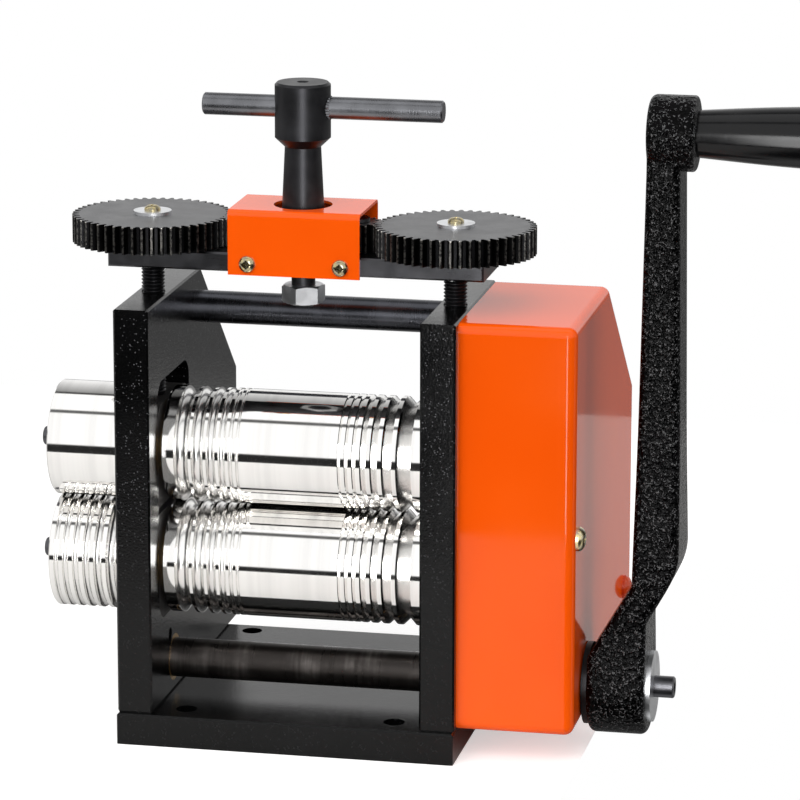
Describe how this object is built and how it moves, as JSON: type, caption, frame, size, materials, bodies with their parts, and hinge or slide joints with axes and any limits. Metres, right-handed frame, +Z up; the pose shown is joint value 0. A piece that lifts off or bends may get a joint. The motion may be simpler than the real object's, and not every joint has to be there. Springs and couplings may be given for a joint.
{
  "type": "jewellers rolling mill",
  "caption": "Hand-cranked bench rolling mill with grooved rolls, side extension rolls, a geared crank and a tee handle that sets the roll gap.",
  "frame": {"origin": "centre of the four bench-bolt holes, on the underside of the base plate", "axes": "+X along the rolls towards the crank, -Y the feeding side, +Z up"},
  "size_m": [0.3764, 0.1635, 0.2797],
  "materials": {
    "black_paint": "fine-textured matt paint",
    "black_oxide": "black oxide, satin",
    "roll_steel": "ground and polished, mirror bright",
    "block_iron": "machined, blackened",
    "bush_bronze": "turned bronze",
    "spring_steel": "drawn wire",
    "orange_enamel": "high gloss enamel",
    "yellow_zinc": "yellow zinc plate",
    "white_zinc": "bright zinc plate",
    "gear_steel": "cut steel, oiled",
    "shaft_steel": "black oxide, worn bright on the running surface",
    "hammered_enamel": "gloss black over a rough casting",
    "black_plastic": "gloss"
  },
  "bodies": {
    "frame": {"base_plate": "black_paint", "frame_screws": "black_oxide", "left_cheek": "black_paint", "right_cheek": "black_paint", "upper_tie_bar": "black_oxide", "left_lower_bearing_block": "block_iron", "right_lower_bearing_block": "block_iron", "lower_bushes": "bush_bronze", "crank_bushes": "bush_bronze", "bearing_springs": "spring_steel", "gear_cover": "orange_enamel", "cover_posts": "black_oxide", "cover_screws": "yellow_zinc", "idler_pin": "black_oxide"},
    "upper_carriage": {"left_upper_bearing_block": "block_iron", "right_upper_bearing_block": "block_iron", "upper_bushes": "bush_bronze"},
    "lower_roll": {"lower_roll": "roll_steel", "lower_extension_roll": "roll_steel", "lower_roll_keys": "black_oxide", "lower_roll_washer": "white_zinc", "lower_roll_screws": "black_oxide", "lower_roll_gear": "gear_steel", "drive_gear": "gear_steel"},
    "upper_roll": {"upper_roll": "roll_steel", "upper_extension_roll": "roll_steel", "upper_roll_keys": "black_oxide", "upper_roll_washer": "white_zinc", "upper_roll_screws": "black_oxide", "upper_roll_gear": "gear_steel"},
    "idler": {"idler_gear": "gear_steel"},
    "crank": {"crank_shaft": "shaft_steel", "crank_pinion": "gear_steel", "crank_key": "black_oxide", "crank_spacer": "black_oxide", "crank_arm": "hammered_enamel", "crank_washer": "white_zinc", "crank_bolt": "black_oxide", "shaft_retaining_ring": "black_oxide", "grip_bolt": "white_zinc"},
    "grip": {"crank_grip": "black_plastic"},
    "bridge": {"bridge_beam": "black_oxide", "bridge_cover": "orange_enamel", "bridge_cover_screws": "yellow_zinc", "adjust_idler_pins": "black_oxide"},
    "handle": {"handle_spindle": "black_oxide", "handle_bar": "black_oxide", "handle_pinion": "black_oxide", "spindle_nut": "white_zinc"},
    "left_idler": {"left_adjust_idler": "black_oxide"},
    "right_idler": {"right_adjust_idler": "black_oxide"},
    "left_screw": {"left_adjusting_screw": "black_oxide", "left_adjusting_gear": "black_oxide", "left_screw_washers": "white_zinc", "left_gear_screw": "yellow_zinc"},
    "right_screw": {"right_adjusting_screw": "black_oxide", "right_adjusting_gear": "black_oxide", "right_screw_washers": "white_zinc", "right_gear_screw": "yellow_zinc"}
  },
  "joints": [
    {"name": "roll_gap_slide", "type": "slide", "parent": "frame", "child": "upper_carriage", "axis": [0, 0, 1], "range_m": [0, 0.005], "deforming": ["bearing_springs"]},
    {"name": "lower_roll_turn", "type": "hinge", "parent": "frame", "child": "lower_roll", "pos_m": [0, -0.031, 0.0735], "axis": [1, 0, 0], "continuous": true},
    {"name": "upper_roll_turn", "type": "hinge", "parent": "upper_carriage", "child": "upper_roll", "pos_m": [0, -0.031, 0.1227], "axis": [1, 0, 0], "continuous": true},
    {"name": "idler_turn", "type": "hinge", "parent": "frame", "child": "idler", "pos_m": [0.101, -0.00302, 0.03762], "axis": [1, 0, 0], "continuous": true},
    {"name": "crank_turn", "type": "hinge", "parent": "frame", "child": "crank", "pos_m": [0, -0.031, 0.0275], "axis": [1, 0, 0], "continuous": true},
    {"name": "grip_spin", "type": "hinge", "parent": "crank", "child": "grip", "pos_m": [0.215, -0.031, 0.264], "axis": [1, 0, 0], "continuous": true},
    {"name": "bridge_slide", "type": "slide", "parent": "frame", "child": "bridge", "axis": [0, 0, 1], "range_m": [0, 0.005]},
    {"name": "handle_turn", "type": "hinge", "parent": "bridge", "child": "handle", "pos_m": [0, -0.031, 0.215], "axis": [0, 0, 1], "range_deg": [0, 3121]},
    {"name": "left_idler_turn", "type": "hinge", "parent": "bridge", "child": "left_idler", "pos_m": [-0.0225, -0.031, 0.215], "axis": [0, 0, 1], "range_deg": [-3901, 0]},
    {"name": "right_idler_turn", "type": "hinge", "parent": "bridge", "child": "right_idler", "pos_m": [0.0225, -0.031, 0.215], "axis": [0, 0, 1], "range_deg": [-3901, 0]},
    {"name": "left_screw_turn", "type": "hinge", "parent": "bridge", "child": "left_screw", "pos_m": [-0.065, -0.031, 0.215], "axis": [0, 0, 1], "range_deg": [0, 1201]},
    {"name": "right_screw_turn", "type": "hinge", "parent": "bridge", "child": "right_screw", "pos_m": [0.065, -0.031, 0.215], "axis": [0, 0, 1], "range_deg": [0, 1201]}
  ],
  "couplings": [
    {"joint": "idler_turn", "follows": "crank_turn", "ratio": -0.54545},
    {"joint": "lower_roll_turn", "follows": "crank_turn", "ratio": 0.4},
    {"joint": "upper_roll_turn", "follows": "crank_turn", "ratio": -0.4},
    {"joint": "roll_gap_slide", "follows": "bridge_slide", "ratio": 1},
    {"joint": "left_screw_turn", "follows": "bridge_slide", "rad_per_m": 4188.8},
    {"joint": "right_screw_turn", "follows": "bridge_slide", "rad_per_m": 4188.8},
    {"joint": "left_idler_turn", "follows": "bridge_slide", "rad_per_m": -13614},
    {"joint": "right_idler_turn", "follows": "bridge_slide", "rad_per_m": -13614},
    {"joint": "handle_turn", "follows": "bridge_slide", "rad_per_m": 10891}
  ]
}
